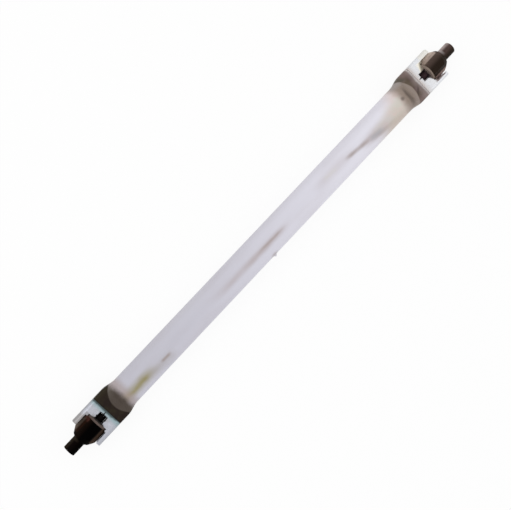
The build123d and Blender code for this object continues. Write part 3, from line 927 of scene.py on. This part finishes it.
class LAMP_OT_clips(bpy.types.Operator):
    """Build the two folded end clips"""
    bl_idname = "lamp.clips"
    bl_label = "End clips"

    def fold(self, sizes, high, marks):
        """Points (y, z) round the folded sheet, from the seam: half of the bottom, with points at the
        marks, and a corner arc, then both mirrored up and across."""
        corner = sizes.clip_corner
        flat = high[1] - corner
        bottom = np.concatenate([np.linspace(a, b, 6, endpoint=False)
                                 for a, b in zip(marks, [*marks[1:], flat])])
        turn = np.linspace(-TURN / 4, 0, 8)
        arc = grid(flat + corner * np.cos(turn), corner * np.sin(turn) - (high[2] - corner), 0)
        lower = np.concatenate([grid(bottom, -high[2], 0), arc])[:, :2]
        right = np.concatenate([lower, lower[::-1] * [1, -1]])
        return np.concatenate([right, right[::-1] * [-1, 1]])

    def sleeve(self, sizes):
        """The fold carried along X, with small dents on its plates; the cells of the notch and the
        windows are left out."""
        low, high = right_box("end_clip")
        washer = right_box("washer")
        web, shelf = washer[0, 0], washer[1, 0] + 4 * sizes.slip
        washer_half, slot_half = washer[1, 1] + sizes.slip, sizes.slot_width / 2
        notch_half = hexagon_corner(sizes) + sizes.ear_gap
        window = (right_box("ferrule")[0, 0] + sizes.window_lip, web - sizes.sheet)
        y, z = self.fold(sizes, high, [sizes.seam_gap / 2, slot_half, washer_half, notch_half]).T
        stops = [low[0], *window, web, shelf, high[0]]
        x = np.concatenate([np.linspace(a, b, 12, endpoint=False)
                            for a, b in zip(stops[:-1], stops[1:])] + [[high[0]]])[:, None]
        sunk = sizes.dent * (ripple(x * 420, y * 380, seed=11) - 1)
        on_plate = smooth_step((high[1] - 1.2 * MM - np.abs(y)) / (2 * MM))
        points = grid(x, y, z + np.sign(z) * sunk * on_plate * (np.abs(z) > high[2] - 0.1 * MM))
        along, aside, above = np.abs(np.moveaxis(points[:-1, :-1] + points[1:, 1:], -1, 0)) / 2
        notch = (along > web) & (aside < np.where(along > shelf, notch_half, washer_half))
        hole = (along > window[0]) & (along < window[1]) & (aside < slot_half)
        cut = (notch | hole) & (above > high[2] - 0.4 * MM)
        points = self.burn_edge(sizes, points, window, high[2])
        used, quads = np.unique(grid_faces(*points.shape[:2], keep=~cut), return_inverse=True)
        points = points.reshape(-1, 3)[used]
        return points, turned_out(points, quads.reshape(-1, 4))

    def burn_edge(self, sizes, points, window, half_height):
        """Moves the window's edges in and out as triangle waves; the shift fades within a millimetre."""
        x, y, z = np.moveaxis(points, -1, 0)
        slot_half = sizes.slot_width / 2

        def wave(along, start):
            phase = (along / sizes.ragged_pitch + start) % 1
            return (np.abs(2 * phase - 1) * 2 - 1) * sizes.ragged

        def near(distance):
            return np.clip(1 - np.abs(distance) / MM, 0, 1)
        on_plate = np.abs(z) > half_height - 0.5 * MM
        beside = on_plate & (x > window[0] - 0.5 * MM) & (x < window[1] - 0.2 * MM)
        across = on_plate & (np.abs(y) < slot_half + 0.2 * MM)
        shift_x = wave(y, 0.35) * near(x - window[0]) * across
        shift_y = np.sign(y) * wave(x, 0.2 + 0.4 * (y > 0)) * near(np.abs(y) - slot_half) * beside
        return points + grid(shift_x, shift_y, 0)

    def web(self, sizes):
        """The bent-in web: rings that grow from the shank's hole to the rectangle of the web."""
        rows, columns = 6, 96
        turn = np.linspace(0, TURN, columns, endpoint=False)
        hole = right_box("ferrule")[1, 1] - sizes.ferrule_wall
        rim = np.minimum(sizes.web_width / 2 / np.maximum(np.abs(np.cos(turn)), 1e-6),
                         (right_box("end_clip")[1, 2] - sizes.sheet)
                         / np.maximum(np.abs(np.sin(turn)), 1e-6))
        radius = hole + (rim - hole) * np.linspace(0, 1, rows)[:, None]
        points = turned_surface(right_box("washer")[0, 0], radius, turn).reshape(-1, 3)
        return points, facing(points, grid_faces(rows, columns, wrap_columns=True), 0, 1)

    def execute(self, context):
        sizes, colours = context.scene.lamp_sizes, context.scene.lamp_colours
        finish = (("SOLIDIFY", {"thickness": sizes.sheet, "offset": -1.0, "use_even_offset": True}),
                  ("BEVEL", {"width": sizes.sheet_bevel, "segments": 2, "limit_method": "ANGLE",
                             "angle_limit": math.radians(50)}),
                  ("WEIGHTED_NORMAL", {"keep_sharp": True}))
        part = joined(self.sleeve(sizes), self.web(sizes))
        build_pair("clip", "clip_sheet", "end_clip", lambda side: part,
                   lambda side: make_clip(sizes, colours, side), modifiers=finish)
        return {"FINISHED"}


class LAMP_OT_terminals(bpy.types.Operator):
    """Build the two hexagonal terminals with their contact pins"""
    bl_idname = "lamp.terminals"
    bl_label = "Terminals"

    def profile(self, sizes, tip_round):
        """Points (x, radius) from the pin's tip over the shoulder, hexagon and shank into its bore."""
        low, high = right_box("terminal")[:, 0]
        back = right_box("washer")[1, 0]
        pin, shank = sizes.pin_diameter / 2, sizes.shank_diameter / 2
        corner = hexagon_corner(sizes) + sizes.hex_corner_turned
        bore = sizes.lead_diameter / 2 + sizes.running
        shoulder = high - sizes.pin_length
        tip = [(high - tip_round + tip_round * math.cos(a), pin - tip_round + tip_round * math.sin(a))
               for a in np.linspace(0, TURN / 4, 9)]
        return line_points([
            (high, 0.0), *tip, (shoulder, pin),
            (shoulder - sizes.shoulder_break, pin + sizes.shoulder_step),
            (shoulder - sizes.shoulder_length, corner), (back + sizes.hex_back_chamfer, corner),
            (back, sizes.hex_flats / 2 - sizes.hex_back_edge), (back, shank),
            (low + sizes.shank_edge, shank), (low, shank - sizes.shank_edge), (low, bore),
            (low + sizes.shank_bore, bore), (low + sizes.shank_bore, 0.0)], 0.22 * MM)

    def body(self, sizes, tip_round):
        """The profile turned round the axis; six flats cut its radius where it is past them, with soft
        edges. The angles lie closer together at the flats' corners."""
        profile = self.profile(sizes, tip_round)
        x, turned = profile[:, :1], profile[:, 1:]
        near = np.linspace(0, 1, 13, endpoint=False)
        sixth = TURN / 6 * (near - 0.09 * np.sin(TURN * near))
        angles = np.concatenate([sixth + TURN / 6 * step for step in range(6)])
        flat = sizes.hex_flats / 2
        over = turned - flat / np.cos((angles + 1e-9) % (TURN / 6) - TURN / 12)
        cut = turned - 0.5 * (over + np.sqrt(over ** 2 + sizes.hex_edge ** 2) - sizes.hex_edge)
        radius = np.where(turned > 0.72 * flat, cut, turned)
        return grid_part(turned_surface(x, radius, angles), wrap_columns=True)

    def execute(self, context):
        sizes, colours = context.scene.lamp_sizes, context.scene.lamp_colours
        build_pair("hex_terminal", "oxidised_steel", "terminal",
                   lambda side: self.body(sizes, getattr(sizes, f"{side}_tip_round")),
                   lambda side: make_terminal(sizes, colours, side), sharp=24)
        return {"FINISHED"}


class LAMP_OT_washers(bpy.types.Operator):
    """Build the two washers"""
    bl_idname = "lamp.washers"
    bl_label = "Washers"

    def ring(self, sizes):
        """A flat ring: its section, with a softened rim, carried round the axis."""
        low, high = right_box("washer")
        hole = sizes.shank_diameter / 2 + sizes.running
        soft = sizes.washer_edge
        profile = line_points([
            (low[0], hole), (low[0], high[1] - soft), (low[0] + soft, high[1]),
            (high[0] - soft, high[1]), (high[0], high[1] - soft), (high[0], hole), (low[0], hole)],
            0.5 * MM)[:-1]
        angles = np.linspace(0, TURN, 120, endpoint=False)
        return grid_part(turned_surface(profile[:, :1], profile[:, 1:], angles), wrap_rows=True,
                         wrap_columns=True)

    def execute(self, context):
        sizes, colours = context.scene.lamp_sizes, context.scene.lamp_colours
        build_pair("flat_washer", "washer_steel", "washer", lambda side: self.ring(sizes),
                   lambda side: make_washer(colours, side))
        return {"FINISHED"}


class LAMP_OT_ferrules(bpy.types.Operator):
    """Build the two toothed ferrules"""
    bl_idname = "lamp.ferrules"
    bl_label = "Ferrules"

    def sleeve(self, sizes, seed):
        """A tube whose inner end runs in and out round the axis as teeth of uneven length; waves of
        burnt scale thicken its outside."""
        low, high = right_box("ferrule")
        outer, inner = high[1], high[1] - sizes.ferrule_wall
        angles = np.linspace(0, TURN, 240, endpoint=False)
        place = angles / TURN * sizes.ferrule_teeth + 0.5
        shorter = 0.22 * np.random.default_rng(seed).random(sizes.ferrule_teeth)
        tooth = (np.floor(place) % sizes.ferrule_teeth).astype(int)
        away = smooth_step((np.abs((place % 1) * 2 - 1) - 0.42) / 0.40)
        end = low[0] + 0.6 * sizes.ferrule_tooth * (away + (1 - away) * shorter[tooth])
        wall = np.concatenate([np.linspace(0, 1, 14), np.linspace(1, 0, 14)])[:, None]
        radius = np.repeat([[outer], [inner]], 14, 0)
        x = high[0] + (end - high[0]) * wall
        crust = sizes.scale * (0.5 + 0.5 * ripple(x * 900, 4 * np.sin(angles), seed=seed))
        radius = radius + crust * (radius > inner) * np.sin(math.pi * wall).clip(0.2, 1)
        return grid_part(grid(x, radius * np.sin(angles), radius * np.cos(angles)), wrap_rows=True,
                         wrap_columns=True)

    def execute(self, context):
        sizes, colours = context.scene.lamp_sizes, context.scene.lamp_colours
        seeds = {"right": 5, "left": 6}
        build_pair("toothed_ferrule", "burnt_ferrule", "ferrule",
                   lambda side: self.sleeve(sizes, seeds[side]),
                   lambda side: make_plain_metal(f"burnt_ferrule_{side}", "burnt", colours, 0.0, 0.6, side))
        return {"FINISHED"}


class LAMP_OT_electrodes(bpy.types.Operator):
    """Build the electrode coils and finish the rods, foils and leads"""
    bl_idname = "lamp.electrodes"
    bl_label = "Electrodes and leads"

    def coil(self, sizes):
        """A round wire carried along a helix: its circle lies across the helix's own direction."""
        low, high = right_box("electrode_coil")
        wire = sizes.coil_wire / 2
        lay = high[2] - wire
        span = high[0] - low[0] - 2 * wire
        along = np.linspace(0, 1, 48 * sizes.coil_turns)
        turn = TURN * sizes.coil_turns * along
        line = grid(low[0] + wire + span * along, lay * np.cos(turn), lay * np.sin(turn))
        away = grid(0, np.cos(turn), np.sin(turn))
        rise = span / (TURN * sizes.coil_turns)
        course = grid(rise, -lay * np.sin(turn), lay * np.cos(turn))
        beside = np.cross(course / np.linalg.norm(course, axis=1, keepdims=True), away)
        section = np.linspace(0, TURN, 16, endpoint=False)[None, :, None]
        points = line[:, None] + wire * (np.cos(section) * away[:, None]
                                         + np.sin(section) * beside[:, None])
        return grid_part(closed(points), wrap_columns=True)

    def execute(self, context):
        sizes, colours = context.scene.lamp_sizes, context.scene.lamp_colours
        tungsten = make_plain_metal("tungsten", "tungsten", colours, 0.8, 0.45)
        molybdenum = make_plain_metal("molybdenum", "molybdenum", colours, 0.7, 0.5)
        build_pair("coil", "tungsten", "electrode_coil", lambda side: self.coil(sizes),
                   lambda side: tungsten)
        for side in SIDES:
            for node, material in (("electrode_rod", tungsten), ("lead_rod", molybdenum),
                                   ("seal_foil", molybdenum)):
                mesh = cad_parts[f"{side}_{node}"].data
                mesh.materials.clear()
                mesh.materials.append(material)
        return {"FINISHED"}


class LAMP_OT_stage(bpy.types.Operator):
    """Set up the floor, the light and the camera"""
    bl_idname = "lamp.stage"
    bl_label = "Stage"

    def floor(self, stage, colours):
        """A flat square under the tube; most of its white comes from its own light to the camera."""
        corners = np.array([[-1, -1], [1, -1], [1, 1], [-1, 1]]) * stage.floor_size
        points = grid(corners[:, 0], corners[:, 1], -TUBE_RADIUS - stage.floor_gap)
        mesh = bpy.data.meshes.new("floor")
        mesh.from_pydata(points.tolist(), [], [[0, 1, 2, 3]])
        finish = Finish("floor_white", colours, roughness=1.0, specular_ior_level=0.0,
                        base_color=(0.93, 0.93, 0.93))
        lit = Term(finish, finish.shader.outputs[0])
        finish.seen_white("Material Output", lit, finish.node("ShaderNodeEmission"), stage.floor_glow)
        mesh.materials.append(finish.material)
        floor = bpy.data.objects.new("floor", mesh)
        bpy.context.scene.collection.objects.link(floor)

    def world(self, stage):
        """Even light from all round, which the camera sees as white."""
        world = bpy.data.worlds.new("studio")
        bpy.context.scene.world = world
        world.use_nodes = True
        tree = Tree(world.node_tree)
        lit = world.node_tree.nodes["Background"]
        tree.fill(lit.inputs["Color"], (1, 1, 1))
        tree.fill(lit.inputs["Strength"], stage.world_level)
        white = tree.node("ShaderNodeBackground", {"Color": (1, 1, 1)})
        tree.seen_white("World Output", Term(tree, lit.outputs[0]), white, 1.0)

    def lamp(self, name, place, power, size):
        """A square lamp that faces the middle of the stage."""
        data = bpy.data.lights.new(name, "AREA")
        data.energy, data.size = power, size
        lamp = bpy.data.objects.new(name, data)
        lamp.location = place
        lamp.rotation_euler = (-Vector(place)).to_track_quat("-Z", "Y").to_euler()
        bpy.context.scene.collection.objects.link(lamp)

    def camera(self, stage):
        """A camera above the lamp, turned so that the lamp's axis rises to the right."""
        data = bpy.data.cameras.new("camera")
        data.lens = stage.lens
        camera = bpy.data.objects.new("camera", data)
        back = Vector((-math.tan(stage.lean_along), math.tan(stage.lean_across), 1)).normalized()
        axis = Vector((1, 0, 0))
        axis = (axis - back * axis.dot(back)).normalized()
        right = axis * math.cos(stage.heading) - back.cross(axis) * math.sin(stage.heading)
        turn = Matrix((right, back.cross(right), back)).transposed().to_4x4()
        aim = Vector((stage.aim_x, stage.aim_y, 0))
        camera.matrix_world = Matrix.Translation(aim + back * stage.distance) @ turn
        bpy.context.scene.collection.objects.link(camera)
        bpy.context.scene.camera = camera

    def execute(self, context):
        stage = context.scene.lamp_stage
        self.floor(stage, context.scene.lamp_colours)
        self.world(stage)
        self.lamp("key", (-0.5, 0.7, 1.1), stage.key_level, 1.0)
        self.lamp("fill", (0.9, -0.6, 0.6), stage.fill_level, 0.8)
        self.camera(stage)
        context.scene.view_settings.view_transform = "Standard"
        return {"FINISHED"}


class LAMP_PT_panel(bpy.types.Panel):
    """Buttons for the lamp's pieces"""
    bl_idname = "LAMP_PT_panel"
    bl_label = "Metal Halide Lamp"
    bl_space_type = "VIEW_3D"
    bl_region_type = "UI"
    bl_category = "Lamp"

    def draw(self, context):
        for operator in OPERATORS:
            self.layout.operator(operator.bl_idname)


OPERATORS = (LAMP_OT_quartz, LAMP_OT_clips, LAMP_OT_terminals, LAMP_OT_washers, LAMP_OT_ferrules,
             LAMP_OT_electrodes, LAMP_OT_stage)
CLASSES = (LampSizes, LampColours, LampStage, *OPERATORS, LAMP_PT_panel)


def register():
    for each in CLASSES:
        bpy.utils.register_class(each)
    bpy.types.Scene.lamp_sizes = PointerProperty(type=LampSizes)
    bpy.types.Scene.lamp_colours = PointerProperty(type=LampColours)
    bpy.types.Scene.lamp_stage = PointerProperty(type=LampStage)


def unregister():
    for name in ("lamp_sizes", "lamp_colours", "lamp_stage"):
        delattr(bpy.types.Scene, name)
    for each in reversed(CLASSES):
        bpy.utils.unregister_class(each)


def main():
    register()
    bpy.ops.lamp.quartz()
    bpy.ops.lamp.clips()
    bpy.ops.lamp.terminals()
    bpy.ops.lamp.washers()
    bpy.ops.lamp.ferrules()
    bpy.ops.lamp.electrodes()
    bpy.ops.lamp.stage()


if __name__ == "__main__":
    main()
